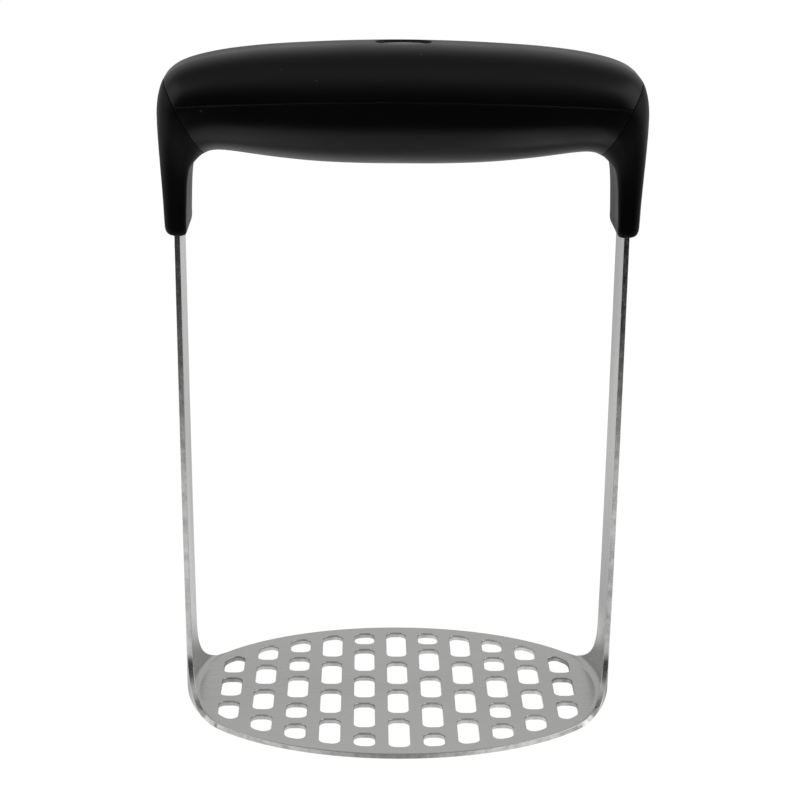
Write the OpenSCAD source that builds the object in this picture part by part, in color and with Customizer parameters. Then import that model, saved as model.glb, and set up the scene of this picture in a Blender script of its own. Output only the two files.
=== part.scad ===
// Potato masher: a horizontal two-part handle over a one-piece stamped steel blade.
// The blade is an oval perforated plate whose two side straps turn up into the handle legs.
// Millimetres. X runs along the handle, -Y is the front, +Z is up.
// The origin is the centre of the plate's underside, which is the resting face.

/* [Handle] */
// Width over the outside of the two legs
handle_w = 125; // [110:0.5:140]
// Height from the underside of the plate to the crown of the grip
tool_h = 182.5; // [150:0.1:220]
// Front-to-back depth of the grip at the middle
grip_d = 36; // [28:0.5:44]
// Front-to-back depth of the legs
leg_d = 20.2; // [18:0.2:28]
// Thickness of the soft grip shells over the rigid core
grip_wall = 4; // [2.5:0.1:6]
// Height of the line where the two grip shells meet, at the middle of the handle
seam_z = 169.9; // [160:0.1:175]

/* [Badge] */
// Length of the blank oval badge in the crown
badge_l = 14.4; // [8:0.1:24]
// Front-to-back size of the badge
badge_d = 8.6; // [5:0.1:14]
// Thickness of the badge
badge_t = 1.4; // [0.8:0.1:2.5]

/* [Plate] */
// Full length of the oval plate outline along the handle
plate_l = 120; // [100:0.5:140]
// Full depth of the oval plate outline
plate_d = 79.2; // [60:0.2:100]
// Thickness of the steel sheet
sheet_t = 1.5; // [0.8:0.1:2]
// Width of the plain rim between the outline and the perforated field
rim = 3.9; // [2:0.1:8]

/* [Perforations] */
// Distance between neighbouring columns of openings
pitch = 9.35; // [7:0.05:12]
// Width of each opening
slot_w = 5.75; // [3:0.05:8]
// Corner radius of each opening
slot_r = 2; // [0.4:0.1:2.4]

/* [Straps] */
// Distance between the inner faces of the two straps at their middle line
strap_gap = 114.8; // [100:0.2:130]
// Width of each strap
strap_w = 16.6; // [12:0.1:22]
// Radius of the shallow arch across the width of each strap
strap_arch = 45; // [30:1:200]
// Inside radius of the bend between plate and strap
bend_r = 2; // [1:0.1:5]
// Radius of the flare where each strap spreads into the plate
flare_r = 16; // [6:0.5:20]

/* [Fixings] */
// Diameter of the cross pins through the strap tangs
pin_d = 3; // [2:0.1:4]
// Length of the cross pins
pin_l = 5.6; // [4:0.1:8]
// Shank diameter of the screws that clamp the core halves
screw_d = 3; // [2:0.1:4]
// Length of the screw shank
screw_l = 17; // [10:0.5:22]

/* [Hidden] */
// Scale of the handle stations along X, and their shift in Z
sx = handle_w / 125;
dz = tool_h - 182.2;
// Corner points on each quarter of a handle ring
ring_n = 8;
// Steps between two handle stations
sub_n = 3;
// Index of the station where the grip shells end against the legs
mitre_i = 11;
// Strap inner face, and the axis of its arch
strap_x = strap_gap / 2;
arch_x = strap_x - strap_arch;
// Tangs run up to this height inside the legs
tang_top = tool_h - 18.2;
// Heights of the two cross pins in each tang
pin_z = [tool_h - 31.7, tool_h - 22.7];
// Middle of a cross pin along X
pin_x = strap_x + sheet_t / 2;
// Where the clamp screws cross the beam
screw_x = 34;
screw_z = tool_h - 16;
head_d = 5.6;
head_h = 2.4;
// Inset oval that trims the outermost openings
in_a = plate_l / 2 - rim;
in_b = plate_d / 2 - rim;
// Straight edges of the openings, front to back, for columns 0 to 5 from the middle.
// An entry with one number starts there and ends on the inset oval.
cuts = [
  [[1.75, 16], [19.5]],
  [[-6.6, 6.6], [10.1, 24.4], [27.9]],
  [[1.75, 16], [19.5]],
  [[-6.6, 6.6], [10.1, 18.9], [22.4]],
  [[1.75, 13.8], [17.3]],
  [[-5.6, 5.6], [9]]
];

// Handle stations from the tip of a leg round the corner to the middle of the beam:
// outer point x, z, inner point x, z, half depth as a share between leg (0) and
// beam middle (1), outer corner radius share, inner corner radius share.
stations = [
  [58.9, 133.5, 56.3, 133.5, -0.10, 0.80, 0.80],
  [60.3, 133.9, 55.6, 133.9, -0.03, 0.80, 0.60],
  [61.0, 135.1, 55.4, 135.1, 0.00, 0.80, 0.38],
  [61.2, 137.3, 55.4, 137.3, 0.00, 0.80, 0.32],
  [61.4, 142.2, 55.2, 142.2, 0.00, 0.80, 0.32],
  [61.7, 147.7, 55.0, 146.2, 0.03, 0.80, 0.34],
  [62.0, 152.9, 54.6, 149.3, 0.09, 0.80, 0.42],
  [62.3, 158.1, 54.1, 151.1, 0.18, 0.80, 0.52],
  [62.5, 162.4, 53.2, 152.4, 0.28, 0.82, 0.64],
  [62.5, 166.2, 52.3, 153.3, 0.38, 0.84, 0.74],
  [62.0, 169.8, 51.4, 154.0, 0.47, 0.85, 0.80],
  [60.8, 173.1, 50.4, 154.5, 0.55, 0.86, 0.82],
  [58.4, 175.5, 48.9, 155.1, 0.62, 0.87, 0.82],
  [55.0, 177.2, 46.6, 155.3, 0.68, 0.88, 0.83],
  [50.0, 178.6, 43.2, 155.0, 0.75, 0.88, 0.84],
  [43.3, 179.8, 38.4, 154.3, 0.83, 0.88, 0.85],
  [34.5, 180.8, 31.3, 153.3, 0.90, 0.88, 0.86],
  [24.0, 181.5, 22.2, 152.4, 0.96, 0.88, 0.86],
  [12.4, 182.0, 11.6, 151.9, 0.99, 0.88, 0.86],
  [0.0, 182.2, 0.0, 151.8, 1.00, 0.88, 0.86]
];
last_i = len(stations) - 1;

// ---- colours
steel = [0.72, 0.72, 0.70];
bright = [0.80, 0.80, 0.80];
rigid = [0.09, 0.09, 0.10];
soft = [0.05, 0.05, 0.05];
gloss = [0.02, 0.02, 0.02];

// ---- handle rings
// Smooth value between stations i and i+1 for column c at fraction t.
function mixed(i, c, t) =
  let (
    p0 = stations[max(i - 1, 0)][c],
    p1 = stations[i][c],
    p2 = stations[min(i + 1, last_i)][c],
    p3 = i + 2 > last_i ? stations[last_i - 1][c] * (c == 0 || c == 2 ? -1 : 1)
      : stations[i + 2][c]
  )
  p1 + t / 2 * (p2 - p0 + t * (2 * p0 - 5 * p1 + 4 * p2 - p3
    + t * (3 * (p1 - p2) + p3 - p0)));

// One row of ring values at position s, counted in stations.
function row(s) =
  let (i = min(floor(s), last_i - 1), t = s - i) [for (c = [0:6]) mixed(i, c, t)];

// Ring of points: half height h, half depth d, corner radius shares ko and ki.
// Each point is [y, position between inner (-h) and outer (+h)].
function ring(h, d, ko, ki) = [
  for (q = [0:3], k = [0:ring_n])
    let (
      sy = q == 0 || q == 3 ? 1 : -1,
      sh = q < 2 ? 1 : -1,
      a = 90 * (q % 2 == 0 ? k : ring_n - k) / ring_n,
      share = sh > 0 ? ko : ki,
      rh = share * h,
      ry = min(share * d, 1.15 * rh)
    )
    [sy * (d - ry + ry * cos(a)), sh * (h - rh + rh * sin(a))]
];

// Ring in space at station position s, shrunk all round by w, on side sgn.
function placed(s, w, sgn) =
  let (
    r = row(s),
    ox = r[0] * sx, oz = r[1] + dz, ix = r[2] * sx, iz = r[3] + dz,
    mx = (ox + ix) / 2, mz = (oz + iz) / 2,
    l = sqrt(pow(ox - ix, 2) + pow(oz - iz, 2)),
    ux = (ox - ix) / l, uz = (oz - iz) / l,
    d = (leg_d + (grip_d - leg_d) * r[4]) / 2 - w,
    pts = ring(l / 2 - w, d, r[5], r[6])
  )
  [for (p = pts) [sgn * (mx + ux * p[1]), p[0], mz + uz * p[1]]];

// Closed body through a list of rings with the same number of points.
module loft(rings, flip) {
  n = len(rings[0]);
  m = len(rings);
  pts = [for (r = rings) each r];
  sides = [for (i = [0:m - 2], j = [0:n - 1])
    let (a = i * n + j, b = i * n + (j + 1) % n, c = a + n, e = b + n)
    each [[a, b, e], [a, e, c]]];
  cap0 = [[for (j = [n - 1:-1:0]) j]];
  cap1 = [[for (j = [0:n - 1]) (m - 1) * n + j]];
  faces = concat(sides, cap0, cap1);
  polyhedron(points = pts,
    faces = flip ? [for (f = faces) [for (k = [len(f) - 1:-1:0]) f[k]]] : faces,
    convexity = 6);
}

// Leg and corner from the tip to the mitre, on side sgn.
module leg_body(sgn) {
  rings = [for (i = [0:mitre_i * sub_n]) placed(i / sub_n, 0, sgn)];
  loft(rings, sgn < 0);
}

// Beam between the two mitres, shrunk all round by w.
module beam_body(w) {
  right = [for (i = [mitre_i * sub_n:last_i * sub_n]) placed(i / sub_n, w, 1)];
  left = [for (i = [last_i * sub_n - 1:-1:mitre_i * sub_n]) placed(i / sub_n, w, -1)];
  loft(concat(right, left), false);
}

// Rigid beam under the grip shells; it runs a little way into the legs.
module beam_core() {
  right = [for (i = [mitre_i * sub_n - 3:last_i * sub_n]) placed(i / sub_n, grip_wall, 1)];
  left = [for (i = [last_i * sub_n - 1:-1:mitre_i * sub_n - 3])
    placed(i / sub_n, grip_wall, -1)];
  loft(concat(right, left), false);
}

// ---- blade
function oval(a, b, n) = [for (i = [0:n - 1]) [a * cos(360 * i / n), b * sin(360 * i / n)]];
function unit(v) = v / norm(v);
function inset_y(x) = in_b * sqrt(1 - pow(x / in_a, 2));

// Arc that rounds the corner q between the corners p and s of a polygon.
function corner(p, q, s, r, n) =
  let (
    a = unit(p - q),
    b = unit(s - q),
    half = acos(a * b) / 2,
    c = q + unit(a + b) * r / sin(half),
    v = q + a * r / tan(half) - c,
    a0 = atan2(v[1], v[0])
  )
  [for (k = [0:n]) c + r * [cos(a0 + (180 - 2 * half) * k / n),
    sin(a0 + (180 - 2 * half) * k / n)]];

function rounded(pts, r, n) = [
  for (i = [0:len(pts) - 1])
    each corner(pts[(i + len(pts) - 1) % len(pts)], pts[i], pts[(i + 1) % len(pts)], r, n)
];

// One opening of column k; its outer edge follows the rim when only y0 is given.
module opening(k, cut) {
  x0 = k * pitch - slot_w / 2;
  x1 = k * pitch + slot_w / 2;
  y0 = cut[0];
  yl = len(cut) > 1 ? cut[1] : inset_y(x0);
  yr = len(cut) > 1 ? cut[1] : inset_y(x1);
  polygon(rounded([[x0, y0], [x1, y0], [x1, yr], [x0, yl]], slot_r, 4));
}

module openings() {
  for (k = [0:len(cuts) - 1], cut = cuts[k], mx = [0:(k > 0 ? 1 : 0)],
      my = [0:(cut[0] > 0 ? 1 : 0)])
    mirror([mx, 0]) mirror([0, my]) opening(k, cut);
}

// Sheet profile round the bend: floor lip, quarter bend and upright, in radius and height.
module strap_profile(grow) {
  translate([strap_arch - bend_r - 3, 0])
    square([3, sheet_t]);
  translate([strap_arch - bend_r, sheet_t + bend_r])
    intersection() {
      difference() {
        circle(r = bend_r + sheet_t, $fn = 96);
        circle(r = bend_r, $fn = 96);
      }
      translate([0, -bend_r - sheet_t])
        square([bend_r + sheet_t, bend_r + sheet_t]);
    }
  translate([strap_arch - grow, sheet_t + bend_r])
    square([sheet_t + 2 * grow, tang_top - sheet_t - bend_r + grow]);
}

// Side view of a strap: straight band that flares out towards the plate.
module strap_side() {
  hw = strap_w / 2;
  difference() {
    translate([-hw - flare_r, 0])
      square([strap_w + 2 * flare_r, tang_top]);
    for (s = [-1, 1]) {
      translate([s * (hw + flare_r), sheet_t + flare_r])
        circle(r = flare_r, $fn = 128);
      translate([s * (hw + flare_r) - flare_r, sheet_t + flare_r])
        square([2 * flare_r, tang_top]);
    }
  }
}

// Right-hand strap with its bend, trimmed by the oval outline of the plate.
module strap() {
  intersection() {
    translate([arch_x, 0, 0])
      rotate([0, 0, -36])
        rotate_extrude(angle = 72, $fn = 240)
          strap_profile(0);
    rotate([90, 0, 90])
      linear_extrude(height = plate_l)
        strap_side();
    linear_extrude(height = tool_h)
      polygon(oval(plate_l / 2, plate_d / 2, 160));
  }
}

module pin_hole(z, d) {
  translate([pin_x, 0, z])
    rotate([0, 90, 0])
      cylinder(h = pin_l, d = d, center = true, $fn = 48);
}

module blade() color(steel) {
  difference() {
    union() {
      linear_extrude(height = sheet_t)
        intersection() {
          polygon(oval(plate_l / 2, plate_d / 2, 160));
          union() {
            for (s = [-1, 1])
              translate([s * arch_x, 0])
                circle(r = strap_arch - bend_r - 1, $fn = 240);
          }
        }
      strap();
      mirror([1, 0, 0]) strap();
    }
    translate([0, 0, -1])
      linear_extrude(height = sheet_t + 2)
        openings();
    for (s = [0, 1], z = pin_z)
      mirror([s, 0, 0]) pin_hole(z, pin_d);
  }
}

// ---- rigid core
// Slot for a tang, open at the tip of the leg.
module tang_slot() {
  intersection() {
    translate([arch_x, 0, 0])
      rotate([0, 0, -18])
        rotate_extrude(angle = 36, $fn = 240)
          translate([strap_arch - 0.03, 120])
            square([sheet_t + 0.06, tang_top - 120]);
    translate([0, -strap_w / 2, 120])
      cube([plate_l, strap_w, tang_top - 120]);
  }
}

// Shank of a clamp screw with its head at the rear, both grown by g.
module screw_shape(g) {
  translate([screw_x, 12.4, screw_z])
    rotate([90, 0, 0]) {
      translate([0, 0, -4 * g])
        cylinder(h = head_h + 4 * g, d = head_d, $fn = 48);
      cylinder(h = head_h + screw_l, d = screw_d, $fn = 36);
    }
}

module core() {
  difference() {
    union() {
      leg_body(1);
      leg_body(-1);
      beam_core();
    }
    for (s = [0, 1])
      mirror([s, 0, 0]) {
        tang_slot();
        for (z = pin_z)
          pin_hole(z, pin_d);
        screw_shape(1);
      }
  }
}

module core_front() color(rigid) {
  intersection() {
    core();
    translate([-handle_w, -handle_w, 0])
      cube([2 * handle_w, handle_w, 2 * tool_h]);
  }
}

module core_rear() color(rigid) {
  intersection() {
    core();
    translate([-handle_w, 0, 0])
      cube([2 * handle_w, handle_w, 2 * tool_h]);
  }
}

// ---- fixings
module pin(s, z) color(bright) {
  mirror([s, 0, 0]) pin_hole(z, pin_d);
}

module screw(s) color(bright) {
  mirror([s, 0, 0])
    difference() {
      screw_shape(0);
      for (a = [0, 90])
        translate([screw_x, 12.4, screw_z])
          rotate([90, a, 0])
            translate([-1.6, -0.35, -0.1])
              cube([3.2, 0.7, 1.3]);
    }
}

module pin_left_lower() { pin(1, pin_z[0]); }
module pin_left_upper() { pin(1, pin_z[1]); }
module pin_right_lower() { pin(0, pin_z[0]); }
module pin_right_upper() { pin(0, pin_z[1]); }
module screw_left() { screw(1); }
module screw_right() { screw(0); }

// ---- soft grip
// Everything below the crowned line where the two shells meet.
module below_seam() {
  w = handle_w / 2 + 5;
  sag = 3;
  rotate([90, 0, 0])
    translate([0, 0, -handle_w])
      linear_extrude(height = 2 * handle_w)
        polygon(concat([[w, 0], [w, seam_z - sag]],
          [for (i = [11:-1:-11]) [w * i / 12, seam_z - sag * pow(i / 12, 2)]],
          [[-w, seam_z - sag], [-w, 0]]));
}

module badge_shape(h) {
  translate([0, 0, tool_h - 0.3 - badge_t])
    linear_extrude(height = h)
      polygon(oval(badge_l / 2, badge_d / 2, 72));
}

module grip_lower() color(soft) {
  intersection() {
    difference() {
      beam_body(0);
      beam_core();
    }
    below_seam();
  }
}

module grip_upper() color(soft) {
  difference() {
    beam_body(0);
    beam_core();
    below_seam();
    badge_shape(badge_t + 5);
  }
}

module badge() color(gloss) {
  badge_shape(badge_t);
}

// ---- assembly
blade();
core_front();
core_rear();
pin_left_lower();
pin_left_upper();
pin_right_lower();
pin_right_upper();
screw_left();
screw_right();
grip_lower();
grip_upper();
badge();
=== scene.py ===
# Potato masher: one stamped steel blade, two rigid core halves, two soft grip shells and a badge.
# The object's lengths are in millimetres, scaled to metres when a mesh is made.
# Lengths of the floor, the lamps and the textures are in metres.
import math
import bpy
import bmesh
import numpy as np
from mathutils import Matrix, Vector
from mathutils.geometry import delaunay_2d_cdt


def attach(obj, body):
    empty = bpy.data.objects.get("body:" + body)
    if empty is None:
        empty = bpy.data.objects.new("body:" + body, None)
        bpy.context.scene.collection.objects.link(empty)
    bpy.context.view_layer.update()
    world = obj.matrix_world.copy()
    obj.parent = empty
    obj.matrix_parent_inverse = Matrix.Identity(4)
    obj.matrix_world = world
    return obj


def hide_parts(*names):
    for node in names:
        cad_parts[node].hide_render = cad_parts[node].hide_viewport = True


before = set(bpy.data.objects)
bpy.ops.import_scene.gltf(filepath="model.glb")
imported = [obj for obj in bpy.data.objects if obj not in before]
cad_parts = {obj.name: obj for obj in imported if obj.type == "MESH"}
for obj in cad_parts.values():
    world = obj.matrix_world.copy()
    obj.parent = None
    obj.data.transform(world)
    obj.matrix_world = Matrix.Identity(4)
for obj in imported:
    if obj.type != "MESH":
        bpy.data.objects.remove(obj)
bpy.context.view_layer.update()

MM = 0.001
SCENE = bpy.context.scene

# ------------------------------------------------------------------ camera
CAM_POS = (-9.9, -521.2, 260.1)
CAM_YAW, CAM_PITCH, CAM_ROLL = 1.08, 18.41, 0.53
CAM_LENS = 92.0


def make_camera():
    cam = bpy.data.cameras.new("camera")
    cam.lens = CAM_LENS
    cam.sensor_width = 36.0
    cam.clip_start = 0.01
    obj = bpy.data.objects.new("camera", cam)
    SCENE.collection.objects.link(obj)
    turn = (Matrix.Rotation(math.radians(-CAM_YAW), 4, "Z")
            @ Matrix.Rotation(math.radians(90 - CAM_PITCH), 4, "X")
            @ Matrix.Rotation(math.radians(CAM_ROLL), 4, "Z"))
    obj.matrix_world = Matrix.Translation(Vector(CAM_POS) * MM) @ turn
    SCENE.camera = obj


make_camera()
SCENE.view_settings.view_transform = "Standard"


# ------------------------------------------------------------------ materials
class Nodes:
    """Small helper that adds nodes and links to one material."""

    def __init__(self, name):
        self.mat = bpy.data.materials.new(name)
        self.mat.use_nodes = True
        self.tree = self.mat.node_tree
        self.tree.nodes.clear()
        self.out = self.add("ShaderNodeOutputMaterial")
        self.bsdf = self.add("ShaderNodeBsdfPrincipled")
        self.link(self.bsdf.outputs["BSDF"], self.out.inputs["Surface"])

    def add(self, kind, **values):
        node = self.tree.nodes.new(kind)
        for key, value in values.items():
            setattr(node, key, value)
        return node

    def link(self, a, b):
        self.tree.links.new(a, b)

    def coords(self, kind="Object", scale=(1, 1, 1)):
        tex = self.add("ShaderNodeTexCoord")
        mapping = self.add("ShaderNodeMapping")
        mapping.inputs["Scale"].default_value = scale
        self.link(tex.outputs[kind], mapping.inputs["Vector"])
        return mapping.outputs["Vector"]

    def noise(self, vector, scale, detail=2.0, rough=0.5):
        node = self.add("ShaderNodeTexNoise")
        node.inputs["Scale"].default_value = scale
        node.inputs["Detail"].default_value = detail
        node.inputs["Roughness"].default_value = rough
        self.link(vector, node.inputs["Vector"])
        return node.outputs["Fac"]

    def remap(self, value, lo, hi, to_lo, to_hi):
        node = self.add("ShaderNodeMapRange")
        for key, number in zip(("From Min", "From Max", "To Min", "To Max"), (lo, hi, to_lo, to_hi)):
            node.inputs[key].default_value = number
        self.link(value, node.inputs["Value"])
        return node.outputs["Result"]

    def blend(self, fac, a, b):
        node = self.add("ShaderNodeMix", data_type="RGBA")
        node.inputs["A"].default_value = (*a, 1)
        node.inputs["B"].default_value = (*b, 1)
        self.link(fac, node.inputs["Factor"])
        return node.outputs["Result"]

    def bump(self, height, strength, distance, normal=None):
        node = self.add("ShaderNodeBump")
        node.inputs["Strength"].default_value = strength
        node.inputs["Distance"].default_value = distance
        self.link(height, node.inputs["Height"])
        if normal is not None:
            self.link(normal, node.inputs["Normal"])
        return node.outputs["Normal"]

    def times(self, a, b):
        node = self.add("ShaderNodeMath", operation="MULTIPLY")
        self.link(a, node.inputs[0])
        self.link(b, node.inputs[1])
        return node.outputs[0]

    def plug(self, name, value):
        socket = self.bsdf.inputs[name]
        if isinstance(value, bpy.types.NodeSocket):
            self.link(value, socket)
        else:
            socket.default_value = value


def steel_brushed():
    """Sheet steel with long grain along the sheet, read from the sheet's own flat coordinates."""
    n = Nodes("steel_brushed")
    flat = n.coords("UV", (1.0, 46.0, 1.0))
    fine = n.noise(flat, 28.0, 4.0, 0.62)
    broad = n.noise(flat, 5.0, 3.0, 0.55)
    cloud = n.noise(n.coords("Object"), 38.0, 3.0, 0.5)
    n.plug("Base Color", n.blend(n.remap(fine, 0.3, 0.7, 0, 1), (0.535, 0.533, 0.527), (0.610, 0.608, 0.602)))
    n.plug("Metallic", 1.0)
    n.plug("Roughness", n.remap(broad, 0.3, 0.7, 0.24, 0.34))
    n.plug("Anisotropic", 0.4)
    n.plug("Normal", n.bump(cloud, 0.05, 0.0004, n.bump(fine, 0.10, 0.00006)))
    return n.mat


def steel_sheared():
    """The punched wall of an opening and the trimmed outline, with fine marks through the sheet."""
    n = Nodes("steel_sheared")
    grit = n.noise(n.coords("Object", (1.0, 1.0, 0.25)), 1500.0, 4.0, 0.65)
    patch = n.noise(n.coords("Object"), 420.0, 3.0, 0.6)
    shade = n.remap(patch, 0.35, 0.65, 0, 1)
    n.plug("Base Color", n.blend(shade, (0.42, 0.418, 0.412), (0.60, 0.598, 0.590)))
    n.plug("Metallic", 1.0)
    n.plug("Roughness", n.remap(grit, 0.3, 0.7, 0.18, 0.32))
    n.plug("Normal", n.bump(grit, 0.16, 0.00006))
    return n.mat


def steel_land_painted_shade():
    """Upper band of an opening's punched wall. Its colour is darkened as painted shade along the top of the
    wall.
    """
    n = Nodes("steel_land_painted_shade")
    streak = n.noise(n.coords("Object", (1.0, 1.0, 0.1)), 900.0, 3.0, 0.6)
    n.plug("Base Color", n.blend(n.remap(streak, 0.35, 0.65, 0, 1), (0.19, 0.19, 0.187), (0.31, 0.31, 0.305)))
    n.plug("Metallic", 1.0)
    n.plug("Roughness", n.remap(streak, 0.3, 0.7, 0.22, 0.32))
    n.plug("Normal", n.bump(streak, 0.10, 0.00005))
    return n.mat


def rubber_satin():
    """Soft black grip with a fine grain and a few specks of dust."""
    n = Nodes("rubber_satin")
    obj = n.coords("Object")
    fine = n.noise(obj, 2400.0, 3.0, 0.6)
    cloud = n.noise(obj, 55.0, 3.0, 0.5)
    speck = n.add("ShaderNodeTexVoronoi", feature="F1")
    speck.inputs["Scale"].default_value = 150.0
    n.link(obj, speck.inputs["Vector"])
    dust = n.remap(speck.outputs["Distance"], 0.045, 0.03, 0, 1)
    n.plug("Base Color", n.blend(dust, (0.0012, 0.0012, 0.0013), (0.035, 0.035, 0.035)))
    n.plug("Roughness", n.remap(cloud, 0.3, 0.7, 0.30, 0.38))
    n.plug("Specular IOR Level", 0.22)
    n.plug("Normal", n.bump(fine, 0.08, 0.00006))
    return n.mat


def plastic_matte():
    """Rigid black moulding of the core."""
    n = Nodes("plastic_matte")
    obj = n.coords("Object")
    fine = n.noise(obj, 3200.0, 3.0, 0.65)
    cloud = n.noise(obj, 70.0, 3.0, 0.5)
    shade = n.remap(cloud, 0.3, 0.7, 0, 1)
    n.plug("Base Color", n.blend(shade, (0.0011, 0.0011, 0.0012), (0.0018, 0.0018, 0.0019)))
    n.plug("Roughness", n.remap(cloud, 0.3, 0.7, 0.36, 0.46))
    n.plug("Specular IOR Level", 0.09)
    n.plug("Normal", n.bump(fine, 0.12, 0.00006))
    return n.mat


def badge_gloss():
    """Glossier black plastic of the badge, slightly smeared."""
    n = Nodes("badge_gloss")
    obj = n.coords("Object")
    smear = n.noise(obj, 160.0, 3.0, 0.5)
    shade = n.remap(smear, 0.3, 0.7, 0, 1)
    n.plug("Base Color", n.blend(shade, (0.0010, 0.0010, 0.0011), (0.0020, 0.0020, 0.0021)))
    n.plug("Roughness", n.remap(smear, 0.3, 0.7, 0.14, 0.22))
    n.plug("Specular IOR Level", 0.3)
    n.plug("Normal", n.bump(n.noise(obj, 1800.0, 2.0), 0.03, 0.00005))
    return n.mat


def steel_fastener():
    """Turned steel of the pins and screws."""
    n = Nodes("steel_fastener")
    turned = n.noise(n.coords("Object"), 1500.0, 3.0, 0.6)
    n.plug("Base Color", n.blend(n.remap(turned, 0.3, 0.7, 0, 1), (0.50, 0.50, 0.50), (0.64, 0.64, 0.64)))
    n.plug("Metallic", 1.0)
    n.plug("Roughness", n.remap(turned, 0.3, 0.7, 0.24, 0.36))
    n.plug("Normal", n.bump(turned, 0.1, 0.00005))
    return n.mat


STEEL = steel_brushed()
SHEARED = steel_sheared()
# Darker steel for the upper band of the openings' walls: painted shade.
LAND_PAINTED_SHADE = steel_land_painted_shade()
RUBBER = rubber_satin()
PLASTIC = plastic_matte()
GLOSS = badge_gloss()
FASTENER = steel_fastener()


# ------------------------------------------------------------------ mesh helpers
def new_object(name, points, faces, mats, face_mats=None):
    """Mesh object from millimetre points; all faces smooth."""
    mesh = bpy.data.meshes.new(name)
    mesh.from_pydata([tuple(p) for p in np.asarray(points, float) * MM], [], [tuple(f) for f in faces])
    for mat in mats:
        mesh.materials.append(mat)
    if face_mats is not None:
        mesh.polygons.foreach_set("material_index", face_mats)
    mesh.polygons.foreach_set("use_smooth", [True] * len(mesh.polygons))
    mesh.update()
    obj = bpy.data.objects.new(name, mesh)
    SCENE.collection.objects.link(obj)
    return obj


def settle(obj, node_names):
    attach(obj, "root")
    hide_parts(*node_names)


def bake(obj):
    """Applies the object's modifiers to its mesh."""
    graph = bpy.context.evaluated_depsgraph_get()
    mesh = bpy.data.meshes.new_from_object(obj.evaluated_get(graph))
    obj.modifiers.clear()
    old, obj.data = obj.data, mesh
    bpy.data.meshes.remove(old)


def cut_away(obj, cutter):
    """Subtracts the cutter from the object and removes it."""
    mod = obj.modifiers.new("cut", "BOOLEAN")
    mod.operation = "DIFFERENCE"
    mod.solver = "EXACT"
    mod.object = cutter
    bake(obj)
    bpy.data.objects.remove(cutter)


def face_out(obj):
    """Points every face of a closed mesh outwards."""
    bm = bmesh.new()
    bm.from_mesh(obj.data)
    bmesh.ops.recalc_face_normals(bm, faces=bm.faces)
    bm.to_mesh(obj.data)
    bm.free()


def sharpen(obj, degrees):
    """Smooth shading with edges sharper than the angle left crisp."""
    obj.data.polygons.foreach_set("use_smooth", [True] * len(obj.data.polygons))
    obj.data.set_sharp_from_angle(angle=math.radians(degrees))


def closed_tube(rings):
    """Faces of a tube through rings of equal length, with a flat cap at each end."""
    n = len(rings[0])
    faces = []
    for k in range(len(rings) - 1):
        for i in range(n):
            j = (i + 1) % n
            faces.append((k * n + i, k * n + j, (k + 1) * n + j, (k + 1) * n + i))
    faces.append(tuple(range(n))[::-1])
    faces.append(tuple(range((len(rings) - 1) * n, len(rings) * n)))
    return faces


# ------------------------------------------------------------------ blade
SHEET = 1.5
PLATE_A, PLATE_B = 60.0, 39.6
RIM = 3.9
PITCH, SLOT_W, SLOT_R = 9.35, 5.75, 2.0
STRAP_IN, STRAP_HALF = 57.4, 8.3
BEND_R = 2.0
FLARE_R, FLARE_END = 16.0, 3.0
TOOL_H = 182.5
TANG_TOP, TANG_ROUND = TOOL_H - 18.2, 2.0
ARCH_ROOT, ARCH_END, ARCH_FADE = 0.0135, 0.0028, 38.0
PIN_D, PIN_Z = 3.0, (TOOL_H - 31.7, TOOL_H - 22.7)
BEND_MID = BEND_R + SHEET / 2
BEND_LEN = BEND_MID * math.pi / 2
EASE_TOP, EASE_LOW, LAND_H = 0.22, 0.10, 0.32
# Openings of each column from the middle column outwards, as (start, end) across the plate.
# None runs to the rim. Those that don't cross the middle line are mirrored over it.
CUTS = (
    ((1.75, 16.0), (19.5, None)),
    ((-6.6, 6.6), (10.1, 24.4), (27.9, None)),
    ((1.75, 16.0), (19.5, None)),
    ((-6.6, 6.6), (10.1, 18.9), (22.4, None)),
    ((1.75, 13.8), (17.3, None)),
    ((-5.6, 5.6), (9.0, None)),
)


def bend_start(v):
    return STRAP_IN - BEND_R - ARCH_ROOT * v * v


def fold(u, v, n):
    """Flat sheet coordinates (along, across, up through the sheet) to space, for u >= 0."""
    s1 = bend_start(v)
    a = np.clip((u - s1) / BEND_MID, 0, math.pi / 2)
    h = np.maximum(u - s1 - BEND_LEN, 0)
    radius = BEND_R + SHEET - n
    arch = ARCH_END + (ARCH_ROOT - ARCH_END) * np.exp(-h / ARCH_FADE)
    x = np.minimum(u, s1) + radius * np.sin(a) + (ARCH_ROOT - arch) * v * v
    z = SHEET + BEND_R - radius * np.cos(a) + h
    return np.stack([x, v, z], -1)


def folded(u, v, n):
    """The same for both sides of the blade."""
    p = fold(np.abs(u), v, n)
    p[..., 0] *= np.where(u < 0, -1, 1)
    return p


def flare_half(z):
    """Half width of a strap at height z: an arc that runs out into a straight flare near the plate."""
    rise = SHEET + FLARE_R - np.clip(z, SHEET + FLARE_END, SHEET + FLARE_R)
    run = np.sqrt(FLARE_R ** 2 - rise ** 2)
    below = np.maximum(SHEET + FLARE_END - z, 0)
    return STRAP_HALF + FLARE_R - run + below * rise / run


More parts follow.
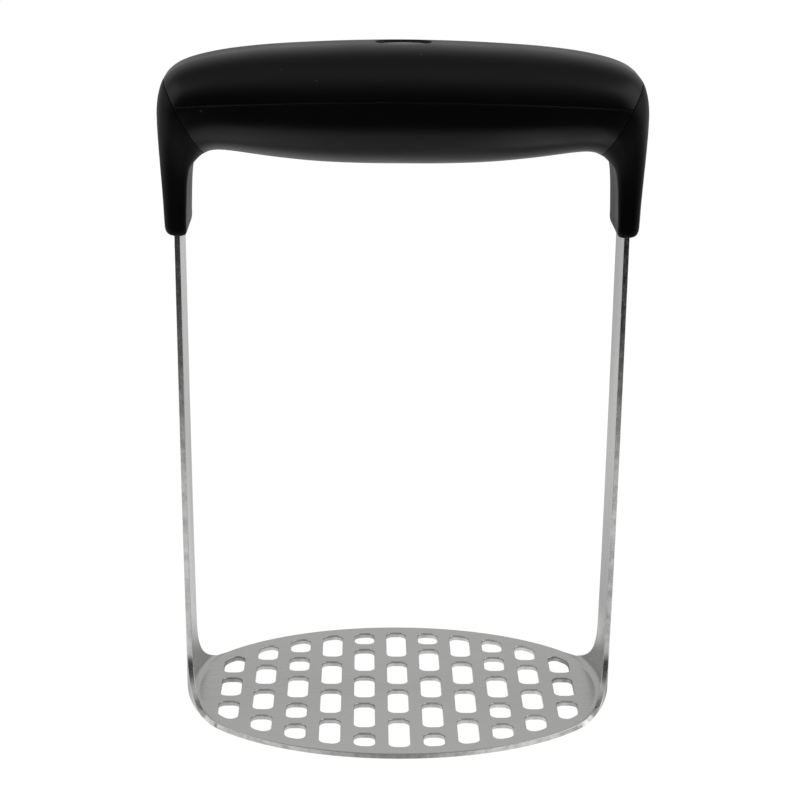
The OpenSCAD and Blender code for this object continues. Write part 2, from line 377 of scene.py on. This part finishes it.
def outline_quarter():
    """Outline of the flat sheet from the middle of the front rim to the end of a tang."""
    pts = []
    for v in np.linspace(PLATE_B, 0, 900):
        x = PLATE_A * math.sqrt(max(0, 1 - (v / PLATE_B) ** 2))
        s1 = bend_start(v)
        u, z = x, 0.0
        if x > s1 + BEND_MID:
            break
        if x > s1:
            a = math.asin(min(1, (x - s1) / BEND_MID))
            u, z = s1 + a * BEND_MID, SHEET + BEND_R - BEND_MID * math.cos(a)
        if z > SHEET and v > flare_half(z):
            break
        pts.append((u, v))
    z0, v0 = max(z, SHEET), pts[-1][1]
    if x > s1 + BEND_MID:
        z0 = SHEET + BEND_R
    for z in np.linspace(z0, SHEET + FLARE_R, 160):
        v = min(float(flare_half(z)), v0)
        s1 = bend_start(v)
        if z < SHEET + BEND_R:
            u = s1 + BEND_MID * math.acos(max(0, min(1, (SHEET + BEND_R - z) / BEND_MID)))
        else:
            u = s1 + BEND_LEN + z - SHEET - BEND_R
        pts.append((u, v))
    top = bend_start(STRAP_HALF) + BEND_LEN + TANG_TOP - SHEET - BEND_R
    for a in np.linspace(0, math.pi / 2, 6):
        pts.append((top - TANG_ROUND * (1 - math.sin(a)), STRAP_HALF - TANG_ROUND * (1 - math.cos(a))))
    pts.append((top, 0.0))
    return np.array(pts)


def resample(pts, step):
    """The same line with points at even steps."""
    seg = np.hypot(*np.diff(pts, axis=0).T)
    run = np.concatenate([[0], np.cumsum(seg)])
    count = max(2, int(round(run[-1] / step)) + 1)
    at = np.linspace(0, run[-1], count)
    return np.stack([np.interp(at, run, pts[:, k]) for k in (0, 1)], 1)


def outline_loop():
    """Closed outline of the flat sheet, counter-clockwise, with the flare corners eased."""
    q = resample(outline_quarter(), 0.5)
    right = np.concatenate([q[::-1] * (1, 1), (q * (-1, 1))[1:]])
    loop = np.concatenate([right[:-1], (right * (-1, -1))[:-1]])
    turn_in = loop - np.roll(loop, 2, 0)
    turn_out = np.roll(loop, -2, 0) - loop
    cross = turn_in[:, 0] * turn_out[:, 1] - turn_in[:, 1] * turn_out[:, 0]
    near = np.zeros(len(loop), bool)
    for i in np.where(cross < -0.12)[0]:
        near[np.arange(i - 4, i + 5) % len(loop)] = True
    mid = (np.roll(loop, 1, 0) + np.roll(loop, -1, 0)) / 2
    return np.where(near[:, None], mid, loop)


def rounded_polygon(pts, least, n):
    """Polygon with rounded corners; the radius grows from its least value where a corner is blunt."""
    out = []
    for i, q in enumerate(pts):
        p, s = np.array(pts[i - 1]), np.array(pts[(i + 1) % len(pts)])
        q = np.array(q, float)
        a, b = (p - q) / np.linalg.norm(p - q), (s - q) / np.linalg.norm(s - q)
        half = math.acos(float(a @ b)) / 2
        r = least * max(1.0, math.tan(half))
        c = q + (a + b) / np.linalg.norm(a + b) * r / math.sin(half)
        v = q + a * r / math.tan(half) - c
        a0 = math.atan2(v[1], v[0])
        for k in range(n + 1):
            t = a0 + (math.pi - 2 * half) * k / n
            out.append(c + r * np.array((math.cos(t), math.sin(t))))
    return np.array(out)


def inset_y(x):
    """Half width of the perforated field at x."""
    a, b = PLATE_A - RIM, PLATE_B - RIM
    return b * math.sqrt(1 - (x / a) ** 2)


def opening_loops():
    """Outlines of all openings, each counter-clockwise, in flat sheet coordinates."""
    loops = []
    for k, column in enumerate(CUTS):
        x0, x1 = k * PITCH - SLOT_W / 2, k * PITCH + SLOT_W / 2
        for y0, y1 in column:
            yl, yr = (inset_y(x0), inset_y(x1)) if y1 is None else (y1, y1)
            loop = rounded_polygon([(x0, y0), (x1, y0), (x1, yr), (x0, yl)], SLOT_R, 8)
            for sx in ((1, -1) if k else (1,)):
                for sy in ((1, -1) if y0 > 0 else (1,)):
                    copy = loop * (sx, sy)
                    loops.append(copy if sx * sy > 0 else copy[::-1])
    a = np.linspace(0, 2 * math.pi, 28, endpoint=False)
    for z in PIN_Z:
        u = STRAP_IN - BEND_R + BEND_LEN + z - SHEET - BEND_R
        ring = np.stack([u + PIN_D / 2 * np.cos(a), PIN_D / 2 * np.sin(a)], 1)
        loops += [ring, (ring * (-1, 1))[::-1]]
    return loops


def loop_normals(loop):
    """Unit normals that point to the right of travel: outwards for a counter-clockwise loop."""
    d = np.roll(loop, -1, 0) - np.roll(loop, 1, 0)
    d /= np.linalg.norm(d, axis=1, keepdims=True)
    return np.stack([d[:, 1], -d[:, 0]], 1)


def inside(points, loop):
    """Which of the points lie inside the loop."""
    x, y = points[:, 0], points[:, 1]
    hit = np.zeros(len(points), bool)
    for (x0, y0), (x1, y1) in zip(loop, np.roll(loop, -1, 0)):
        if y0 == y1:
            continue
        cross = (y0 > y) != (y1 > y)
        hit ^= cross & (x < (x1 - x0) * (y - y0) / (y1 - y0) + x0)
    return hit


def spread_points():
    """Extra points of the flat sheet: close where it bends, further apart on the straps and the plate."""
    extra = []
    for u in np.arange(49.5, 63.0, 0.45):
        for v in np.arange(-24, 24.1, 1.2):
            extra += [(u, v), (-u, v)]
    for u in np.arange(63.5, 216, 3.0):
        for v in np.linspace(-7.4, 7.4, 9):
            extra += [(u, v), (-u, v)]
    for u in np.arange(-48, 48.1, 3.1):
        for v in np.arange(-37.2, 37.3, 3.1):
            extra.append((u, v))
    return np.array(extra)


def fill_flat(rims):
    """Points and triangles of the flat sheet inside the first rim and outside the others."""
    extra = spread_points()
    keep = inside(extra, rims[0])
    for rim in rims[1:]:
        keep &= ~inside(extra, rim)
    every = np.concatenate(rims)
    near = np.array([np.min(np.abs(every - e).max(1)) for e in extra])
    extra = extra[keep & (near > 0.3)]
    pts, edges = [], []
    for rim in rims:
        base = len(pts)
        pts += [tuple(p) for p in rim]
        edges += [(base + i, base + (i + 1) % len(rim)) for i in range(len(rim))]
    pts += [tuple(p) for p in extra]
    out = delaunay_2d_cdt([Vector(p) for p in pts], edges, [], 0, 1e-6)
    verts = np.array([tuple(p) for p in out[0]])
    assert len(verts) == len(pts), "the sheet outline crosses itself"
    tris = np.array([tuple(f) for f in out[2]])
    mid = verts[tris].mean(1)
    keep = inside(mid, rims[0])
    for rim in rims[1:]:
        keep &= ~inside(mid, rim)
    tris = tris[keep]
    a, b, c = (verts[tris[:, k]] for k in range(3))
    area = (b - a)[:, 0] * (c - a)[:, 1] - (b - a)[:, 1] * (c - a)[:, 0]
    tris[area < 0] = tris[area < 0][:, ::-1]
    return verts, tris


class Sheet:
    """Points, normals and faces of the folded sheet, gathered from its flat coordinates."""

    def __init__(self):
        self.points, self.normals, self.flat = [], [], []
        self.faces, self.mats = [], []
        self.count = 0

    def add_points(self, uv, level, flat_normal):
        """Adds flat points at one level through the sheet; gives the number of the first one."""
        u, v = uv[:, 0], uv[:, 1]
        du = folded(u + 0.01, v, level) - folded(u - 0.01, v, level)
        dv = folded(u, v + 0.01, level) - folded(u, v - 0.01, level)
        up = np.cross(du, dv)
        up /= np.linalg.norm(up, axis=1, keepdims=True)
        side = np.cross(flat_normal[:, :1] * dv - flat_normal[:, 1:2] * du, up)
        side /= np.maximum(np.linalg.norm(side, axis=1, keepdims=True), 1e-9)
        lean = np.linalg.norm(flat_normal[:, :2], axis=1, keepdims=True)
        self.points.append(folded(u, v, np.full(len(u), level)))
        self.normals.append(side * lean + up * flat_normal[:, 2:])
        self.flat.append(uv)
        self.count += len(uv)
        return self.count - len(uv)

    def add_face(self, uv, tris, level, sign):
        """Upper (1) or lower (-1) face of the sheet."""
        base = self.add_points(uv, level, np.tile((0.0, 0.0, sign), (len(uv), 1)))
        self.faces += [tuple(base + f[::int(sign)]) for f in tris]
        self.mats += [0] * len(tris)
        return base

    def add_row(self, loop, nrm, level, ease, degrees, sign):
        """Row of points round a loop where the edge has turned by some degrees from the face."""
        s, c = math.sin(math.radians(degrees)), math.cos(math.radians(degrees))
        base = self.add_points(loop - nrm * ease * (1 - s), level + sign * ease * c,
                               np.column_stack([nrm * s, np.full(len(loop), sign * c)]))
        return list(range(base, base + len(loop)))

    def make(self, name, mats):
        points, normals, flat = (np.concatenate(part) for part in (self.points, self.normals, self.flat))
        fixed = []
        for f in self.faces:
            a, b, c = points[f[0]], points[f[1]], points[f[2]]
            outwards = np.cross(b - a, c - a) @ normals[list(f)].sum(0) > 0
            fixed.append(tuple(f) if outwards else tuple(f[::-1]))
        obj = new_object(name, points, fixed, mats, self.mats)
        mesh = obj.data
        layer = mesh.uv_layers.new(name="sheet")
        index = np.zeros(len(mesh.loops), int)
        mesh.loops.foreach_get("vertex_index", index)
        layer.data.foreach_set("uv", (flat[index] * 0.01).ravel())
        mesh.normals_split_custom_set_from_vertices([tuple(n) for n in normals])
        return obj


def build_blade():
    outer, holes = outline_loop(), opening_loops()
    loops = [(outer, loop_normals(outer))] + [(h, -loop_normals(h)) for h in holes]
    sheet = Sheet()
    start_top = sheet.add_face(*fill_flat([loop - nrm * EASE_TOP for loop, nrm in loops]), SHEET, 1.0)
    start_low = sheet.add_face(*fill_flat([loop - nrm * EASE_LOW for loop, nrm in loops]), 0.0, -1.0)

    # Eased rim and punched wall of every loop, from the upper face down to the lower one.
    for number, (loop, nrm) in enumerate(loops):
        n = len(loop)
        rows = [list(range(start_top, start_top + n))]
        for a in (25, 50, 72, 90):
            rows.append(sheet.add_row(loop, nrm, SHEET - EASE_TOP, EASE_TOP, a, 1))
        rows.append(sheet.add_row(loop, nrm, SHEET - EASE_TOP - LAND_H, 0.0, 90, 1))
        for a in (90, 60, 30):
            rows.append(sheet.add_row(loop, nrm, EASE_LOW, EASE_LOW, a, -1))
        rows.append(list(range(start_low, start_low + n)))
        # The upper band of each opening's wall takes the darker steel, painted shade; the outline's wall
        # keeps the sheared steel.
        band = 2 if number else 1
        for mat, above, below in zip((0, 0, 0, 1, band, 1, 1, 0, 0), rows, rows[1:]):
            for i in range(n):
                j = (i + 1) % n
                sheet.faces.append((above[i], below[i], below[j], above[j]))
                sheet.mats.append(mat)
        start_top += n
        start_low += n
    settle(sheet.make("blade_sheet", [STEEL, SHEARED, LAND_PAINTED_SHADE]), ["blade"])


# ------------------------------------------------------------------ handle surface
# Stations from the tip of a leg round the corner to the middle of the beam:
# outer point x, z, inner point x, z, share of depth between leg and beam, corner shares.
STATIONS = np.array([
    (58.9, 133.5, 56.3, 133.5, -0.10, 0.80, 0.80),
    (60.3, 133.9, 55.6, 133.9, -0.03, 0.80, 0.60),
    (61.0, 135.1, 55.4, 135.1, 0.00, 0.80, 0.38),
    (61.2, 137.3, 55.4, 137.3, 0.00, 0.80, 0.32),
    (61.4, 142.2, 55.2, 142.2, 0.00, 0.80, 0.32),
    (61.7, 147.7, 55.0, 146.2, 0.03, 0.80, 0.34),
    (62.0, 152.9, 54.6, 149.3, 0.09, 0.80, 0.42),
    (62.3, 158.1, 54.1, 151.1, 0.18, 0.80, 0.52),
    (62.5, 162.4, 53.2, 152.4, 0.28, 0.82, 0.64),
    (62.5, 166.2, 52.3, 153.3, 0.38, 0.84, 0.74),
    (62.0, 169.8, 51.4, 154.0, 0.47, 0.85, 0.80),
    (60.8, 173.1, 50.4, 154.5, 0.55, 0.86, 0.82),
    (58.4, 175.5, 48.9, 155.1, 0.62, 0.87, 0.82),
    (55.0, 177.2, 46.6, 155.3, 0.68, 0.88, 0.83),
    (50.0, 178.6, 43.2, 155.0, 0.75, 0.88, 0.84),
    (43.3, 179.8, 38.4, 154.3, 0.83, 0.88, 0.85),
    (34.5, 180.8, 31.3, 153.3, 0.90, 0.88, 0.86),
    (24.0, 181.5, 22.2, 152.4, 0.96, 0.88, 0.86),
    (12.4, 182.0, 11.6, 151.9, 0.99, 0.88, 0.86),
    (0.0, 182.2, 0.0, 151.8, 1.00, 0.88, 0.86),
])
STATIONS[:, (1, 3)] += TOOL_H - 182.2
LAST = len(STATIONS) - 1
MITRE = 11
LEG_D, GRIP_D = 20.2, 36.0
GRIP_WALL = 4.0
SEAM_Z, SEAM_SAG, SEAM_W = 169.9, 3.0, 67.5
MIRROR = np.array((-1, 1, -1, 1, 1, 1, 1))


def station(s):
    """Smooth station values at position s; beyond the middle it runs on as a mirror image."""
    i = min(int(math.floor(s)), LAST - 1)
    t = s - i
    p0, p1, p2 = STATIONS[max(i - 1, 0)], STATIONS[i], STATIONS[i + 1]
    p3 = STATIONS[LAST - 1] * MIRROR if i + 2 > LAST else STATIONS[i + 2]
    cubic = 3 * (p1 - p2) + p3 - p0
    return p1 + t / 2 * (p2 - p0 + t * (2 * p0 - 5 * p1 + 4 * p2 - p3 + t * cubic))


class Ring:
    """One cross-section of the handle. Its outline runs from the outer middle (0) to the inner middle."""

    def __init__(self, s, side):
        ox, oz, ix, iz, share, ko, ki = station(s)
        self.mid = np.array(((ox + ix) / 2, (oz + iz) / 2))
        span = math.hypot(ox - ix, oz - iz)
        self.dir = np.array((ox - ix, oz - iz)) / span
        self.half_high = span / 2
        self.half_deep = (LEG_D + (GRIP_D - LEG_D) * share) / 2
        self.side = side
        turn = np.linspace(0, math.pi / 2, 80)
        corners = []
        for sign, k in ((1, ko), (-1, ki)):
            high = k * self.half_high
            deep = min(k * self.half_deep, 1.15 * high)
            y = self.half_deep - deep * (1 - np.cos(turn))
            b = sign * (self.half_high - high * (1 - np.sin(turn)))
            corners.append(np.column_stack([y, b])[::-sign])
        ends = ([(0, self.half_high)], [(0, -self.half_high)])
        self.pts = np.concatenate([ends[0], *corners, ends[1]])
        self.run = np.concatenate([[0], np.cumsum(np.hypot(*np.diff(self.pts, axis=0).T))])
        self.total = self.run[-1]

    def at(self, length):
        """Local (y, b) at a signed distance along the outline from the outer middle; rear is positive."""
        l = np.abs(length)
        y = np.interp(l, self.run, self.pts[:, 0]) * np.where(np.asarray(length) < 0, -1, 1)
        return y, np.interp(l, self.run, self.pts[:, 1])

    def space(self, y, b):
        x = self.mid[0] + self.dir[0] * b
        z = self.mid[1] + self.dir[1] * b
        return np.stack([self.side * x, y, z], -1)

    def seam(self):
        """Distance along the outline at which the grip shells meet."""
        b = 0.0
        for _ in range(12):
            x = self.mid[0] + self.dir[0] * b
            b = (SEAM_Z - SEAM_SAG * (x / SEAM_W) ** 2 - self.mid[1]) / self.dir[1]
        order = np.argsort(self.pts[:, 1])
        return float(np.interp(b, self.pts[order, 1], self.run[order]))


# ------------------------------------------------------------------ grip shells
GAP = 0.10
MITRE_GAP = 0.06
SEAM_EASE = 0.38


def grip_stations():
    """Pairs of station position and side from the left mitre to the right one."""
    half = np.linspace(MITRE + MITRE_GAP, LAST, 97)
    return [(s, -1) for s in half] + [(s, 1) for s in half[-2::-1]]


def build_grip(name, upper):
    rows = []
    for s, side in grip_stations():
        ring = Ring(s, side)
        seam = ring.seam() - (GAP / 2 if upper else -GAP / 2)
        if upper:
            length = np.linspace(-seam, seam, 67)
        else:
            length = np.linspace(seam, 2 * ring.total - seam, 61)
            length = np.where(length > ring.total, length - 2 * ring.total, length)
        y, b = ring.at(length)
        rows.append(ring.space(y, b))
    grid = np.array(rows)
    ni, nj = grid.shape[:2]
    faces = []
    for i in range(ni - 1):
        for j in range(nj - 1):
            a = i * nj + j
            faces.append((a, a + nj, a + nj + 1, a + 1))
    obj = new_object(name, grid.reshape(-1, 3), faces, [RUBBER])
    if obj.data.polygons[(ni // 2) * (nj - 1) + nj // 2].normal.z * (1 if upper else -1) < 0:
        obj.data.flip_normals()
    thick = obj.modifiers.new("thick", "SOLIDIFY")
    thick.thickness = GRIP_WALL * MM
    thick.offset = -1
    thick.use_even_offset = True
    ease = obj.modifiers.new("ease", "BEVEL")
    ease.width = SEAM_EASE * MM
    ease.segments = 4
    ease.limit_method = "ANGLE"
    ease.angle_limit = math.radians(50)
    ease.harden_normals = True
    bake(obj)
    return obj


# ------------------------------------------------------------------ badge
BADGE_L, BADGE_D, BADGE_T, BADGE_TOP = 14.4, 8.6, 1.4, TOOL_H - 0.3


def oval_stack(rows, n):
    """Rings of an oval, each row being (inset, z)."""
    a = np.linspace(0, 2 * math.pi, n, endpoint=False)
    return [np.stack([(BADGE_L / 2 - inset) * np.cos(a), (BADGE_D / 2 - inset) * np.sin(a),
                      np.full(n, z)], 1) for inset, z in rows]


def badge_pocket():
    rings = oval_stack([(-0.12, BADGE_TOP - BADGE_T), (-0.12, BADGE_TOP + 2.0)], 96)
    obj = new_object("pocket", np.concatenate(rings), closed_tube(rings), [])
    face_out(obj)
    return obj


def build_badge():
    """Blank domed oval with a fine raised rim."""
    low, top = BADGE_TOP - BADGE_T, BADGE_TOP
    rows = [(0.15, low), (0.0, low + 0.15), (0.0, top - 0.42), (0.05, top - 0.32),
            (0.15, top - 0.26), (0.45, top - 0.26), (0.55, top - 0.30), (0.62, top - 0.38),
            (0.70, top - 0.38), (0.80, top - 0.33)]
    depth = BADGE_D / 2
    for inset in np.linspace(1.1, depth - 0.25, 9):
        t = 1 - (inset - 0.8) / (depth - 0.8)
        rows.append((inset, top - 0.33 * t ** 2))
    rings = oval_stack(rows, 96)
    obj = new_object("badge_oval", np.concatenate(rings), closed_tube(rings), [GLOSS])
    face_out(obj)
    sharpen(obj, 40)
    settle(obj, ["badge"])


# ------------------------------------------------------------------ rigid core halves
CORE_EASE = 0.30
PART_GAP = 0.03
SLOT_CLEAR = 0.12


def half_section(ring, rear, inset):
    """Closed outline of one half of a ring: round the outside, then back across the parting plane."""
    first = PART_GAP + CORE_EASE
    y, b = ring.at(np.linspace(first, ring.total - first, 44))
    if inset:
        y = y * (1 - inset / ring.half_deep)
        b = b * (1 - inset / ring.half_high)
    turn = np.radians((0, 30, 60))
    across = PART_GAP + CORE_EASE * (1 - np.cos(turn))
    down = CORE_EASE * (1 - np.sin(turn))
    outline = np.concatenate([np.column_stack([across, b[0] - down]), np.column_stack([y, b]),
                              np.column_stack([across, b[-1] + down])[::-1]])
    sign = 1 if rear else -1
    return ring.space(sign * outline[:, 0], outline[:, 1])


def slot_cutter(side):
    """Slot that takes one tang of the blade."""
    low, high = STRAP_IN - 0.25 - SLOT_CLEAR, STRAP_IN + SHEET + SLOT_CLEAR
    wide = STRAP_HALF + SLOT_CLEAR
    corners = ((low, -wide), (high, -wide), (high, wide), (low, wide))
    rings = [np.array([(side * x, y, z) for x, y in corners]) for z in (130.0, TANG_TOP + 0.3)]
    obj = new_object("slot", np.concatenate(rings), closed_tube(rings), [])
    face_out(obj)
    return obj


def build_core(name, rear, node):
    steps = np.concatenate([np.linspace(0, 3, 22)[:-1], np.linspace(3, MITRE, 65)])
    beam = np.linspace(MITRE, LAST, 49)
    rows = []
    for side, order in ((-1, 1), (1, -1)):
        part = [half_section(Ring(s, side), rear, 0.0) for s in steps]
        part += [half_section(Ring(s, side), rear, GRIP_WALL + 0.05) for s in beam[:-1 if side > 0 else None]]
        rows += part[::order]
    obj = new_object(name, np.concatenate(rows), closed_tube(rows), [PLASTIC])
    face_out(obj)
    for side in (-1, 1):
        cut_away(obj, slot_cutter(side))
    sharpen(obj, 38)
    settle(obj, [node])


# ------------------------------------------------------------------ stage and light
def curve_ramp(tree, value, stops):
    """Grey ramp: stops are (position, brightness)."""
    ramp = tree.nodes.new("ShaderNodeValToRGB")
    ramp.color_ramp.interpolation = "EASE"
    points = ramp.color_ramp.elements
    points.remove(points[1])
    points[0].position = stops[0][0]
    for place, level in stops[1:]:
        points.new(place)
    for point, (place, level) in zip(points, stops):
        point.color = (level, level, level, 1)
    tree.links.new(value, ramp.inputs["Fac"])
    return ramp.outputs["Color"]


# Brightness of the floor from 0.40 m (0) to 0.10 m (1) in front of the middle.
FLOOR_FRONT = ((0.10, 0.025), (0.30, 0.05), (0.42, 0.15), (0.54, 0.46), (0.64, 0.80), (1.0, 0.92))
# Where the floor is lifted for the front edges of the straps, in tenths of a metre off the middle.
STRAP_STRIP = ((0.52, 0.0), (0.64, 1.0), (0.86, 1.0), (0.97, 0.0))


def floor_glow(n, place):
    """Brightness of the floor as the object sees it. Each face of the steel reflects its own stretch."""
    axes = n.add("ShaderNodeSeparateXYZ")
    n.link(place.outputs["Position"], axes.inputs[0])
    x, y = axes.outputs["X"], axes.outputs["Y"]
    either_side = n.add("ShaderNodeMath", operation="ABSOLUTE")
    n.link(x, either_side.inputs[0])
    mirrored = n.add("ShaderNodeCombineXYZ")
    n.link(either_side.outputs[0], mirrored.inputs["X"])
    n.link(y, mirrored.inputs["Y"])

    def soft_spot(centre, size, dark):
        """Darker patch of floor, the same on the left and the right."""
        mapping = n.add("ShaderNodeMapping", vector_type="TEXTURE")
        mapping.inputs["Location"].default_value = (*centre, 0)
        mapping.inputs["Scale"].default_value = (*size, 1)
        n.link(mirrored.outputs[0], mapping.inputs["Vector"])
        reach = n.add("ShaderNodeVectorMath", operation="LENGTH")
        n.link(mapping.outputs["Vector"], reach.inputs[0])
        return n.remap(reach.outputs["Value"], 0.4, 1.2, dark, 1.0)

    def lift(area, amount):
        """One plus the amount where the area is one."""
        node = n.add("ShaderNodeMath", operation="MULTIPLY_ADD")
        n.link(area, node.inputs[0])
        n.link(amount, node.inputs[1])
        node.inputs[2].default_value = 1.0
        return node.outputs[0]

    # It darkens towards the front of the room and to the right.
    front = curve_ramp(n.tree, n.remap(y, -0.40, -0.10, 0.0, 1.0), FLOOR_FRONT)
    glow = n.times(front, n.remap(x, -0.045, 0.04, 1.0, 0.58))
    # Shade in front of the rim and behind the roots of the straps.
    glow = n.times(glow, soft_spot((0.0, -0.046), (0.026, 0.012), 0.5))
    glow = n.times(glow, soft_spot((0.056, 0.018), (0.015, 0.034), 0.34))
    # Floor under the right half of the plate, which the walls of the openings reflect.
    under = n.times(n.remap(y, 0.035, 0.055, 1.0, 0.0), n.remap(y, -0.060, -0.048, 0.0, 1.0))
    under = n.times(under, n.remap(x, 0.046, 0.052, 1.0, 0.0))
    glow = n.times(glow, lift(under, n.remap(x, -0.010, 0.035, 0.0, 0.9)))
    # Floor that the front edges of the straps reflect.
    strip = curve_ramp(n.tree, n.remap(either_side.outputs[0], 0.0, 0.1, 0.0, 1.0), STRAP_STRIP)
    strip = n.times(strip, n.remap(y, -0.02, 0.0, 1.0, 0.0))
    strip = n.times(strip, n.remap(y, -0.25, -0.20, 0.0, 1.0))
    glow = n.times(glow, lift(strip, n.remap(x, -0.06, 0.06, 0.6, 2.8)))
    # Far floor that the inner faces of the straps reflect.
    far = n.remap(y, 0.13, 0.28, 0.0, 1.0)
    return n.times(glow, lift(far, n.remap(x, -0.03, 0.03, -0.38, 0.48)))


def make_floor():
    """Pale floor, clear from below, that glows as floor_glow says for the object alone."""
    bm = bmesh.new()
    bmesh.ops.create_circle(bm, cap_ends=True, segments=96, radius=6.0)
    mesh = bpy.data.meshes.new("floor")
    bm.to_mesh(mesh)
    bm.free()
    n = Nodes("floor_pale")
    n.tree.nodes.remove(n.bsdf)
    place = n.add("ShaderNodeNewGeometry")
    glow = n.add("ShaderNodeEmission")
    n.link(floor_glow(n, place), glow.inputs["Strength"])
    plain = n.add("ShaderNodeEmission")
    plain.inputs["Strength"].default_value = 0.97
    matte = n.add("ShaderNodeBsdfDiffuse")
    matte.inputs["Color"].default_value = (0.08, 0.08, 0.08, 1)
    both = n.add("ShaderNodeAddShader")
    n.link(plain.outputs[0], both.inputs[0])
    n.link(matte.outputs[0], both.inputs[1])

    def mix(fac, a, b):
        node = n.add("ShaderNodeMixShader")
        n.link(fac, node.inputs["Fac"])
        n.link(a, node.inputs[1])
        n.link(b, node.inputs[2])
        return node.outputs[0]

    seen = n.add("ShaderNodeLightPath")
    clear = n.add("ShaderNodeBsdfTransparent")
    top = mix(seen.outputs["Is Camera Ray"], glow.outputs[0], both.outputs[0])
    n.link(mix(place.outputs["Backfacing"], top, clear.outputs[0]), n.out.inputs["Surface"])
    mesh.materials.append(n.mat)
    obj = bpy.data.objects.new("floor", mesh)
    obj.location.z = -0.0002
    SCENE.collection.objects.link(obj)


# Brightness of the room along an arc from the front horizon (0) over the top to the back one (1).
ROOM = ((0.0, 0.03), (0.07, 0.05), (0.16, 0.11), (0.24, 0.28), (0.33, 0.68), (0.45, 0.56),
        (0.55, 0.32), (0.64, 0.30), (0.73, 0.52), (0.82, 0.72), (0.90, 0.54), (1.0, 0.54))


def make_world():
    """Soft room: bright behind and above, dark in front. The backdrop itself is plain white."""
    world = bpy.data.worlds.new("room")
    world.use_nodes = True
    tree = world.node_tree
    tree.nodes.clear()

    def calc(kind, a, b):
        node = tree.nodes.new("ShaderNodeMath")
        node.operation = kind
        for socket, value in zip(node.inputs, (a, b)):
            if isinstance(value, bpy.types.NodeSocket):
                tree.links.new(value, socket)
            else:
                socket.default_value = value
        return node.outputs[0]

    direction = tree.nodes.new("ShaderNodeTexCoord")
    axes = tree.nodes.new("ShaderNodeSeparateXYZ")
    tree.links.new(direction.outputs["Generated"], axes.inputs[0])
    arc = calc("ARCTAN2", calc("MAXIMUM", axes.outputs["Z"], 0.0), calc("MULTIPLY", axes.outputs["Y"], -1.0))
    level = curve_ramp(tree, calc("DIVIDE", arc, math.pi), ROOM)
    room = tree.nodes.new("ShaderNodeBackground")
    tree.links.new(level, room.inputs["Color"])
    white = tree.nodes.new("ShaderNodeBackground")
    white.inputs["Color"].default_value = (1, 1, 1, 1)
    seen = tree.nodes.new("ShaderNodeLightPath")
    mix = tree.nodes.new("ShaderNodeMixShader")
    tree.links.new(seen.outputs["Is Camera Ray"], mix.inputs["Fac"])
    tree.links.new(room.outputs[0], mix.inputs[1])
    tree.links.new(white.outputs[0], mix.inputs[2])
    out = tree.nodes.new("ShaderNodeOutputWorld")
    tree.links.new(mix.outputs[0], out.inputs["Surface"])
    SCENE.world = world


def square_lamp(name, place, size, power):
    """Soft lamp that looks at the upper half of the object."""
    light = bpy.data.lights.new(name, "AREA")
    light.shape = "RECTANGLE"
    light.size, light.size_y = size, size
    light.energy = power
    obj = bpy.data.objects.new(name, light)
    obj.location = place
    obj.rotation_euler = (Vector((0, 0, 0.15)) - Vector(place)).to_track_quat("-Z", "Y").to_euler()
    SCENE.collection.objects.link(obj)


# ------------------------------------------------------------------ build
make_floor()
make_world()
square_lamp("left", (-1.0, -0.18, 0.60), 0.9, 2.0)
square_lamp("right", (1.0, -0.22, 0.60), 1.1, 4.5)

build_blade()
build_core("core_front_half", False, "core_front")
build_core("core_rear_half", True, "core_rear")
upper = build_grip("grip_upper_shell", True)
cut_away(upper, badge_pocket())
sharpen(upper, 38)
settle(upper, ["grip_upper"])
lower = build_grip("grip_lower_shell", False)
settle(lower, ["grip_lower"])
build_badge()
for node_name, node_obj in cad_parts.items():
    if node_name.startswith(("pin_", "screw_")):
        for item in node_obj.material_slots:
            item.material = FASTENER
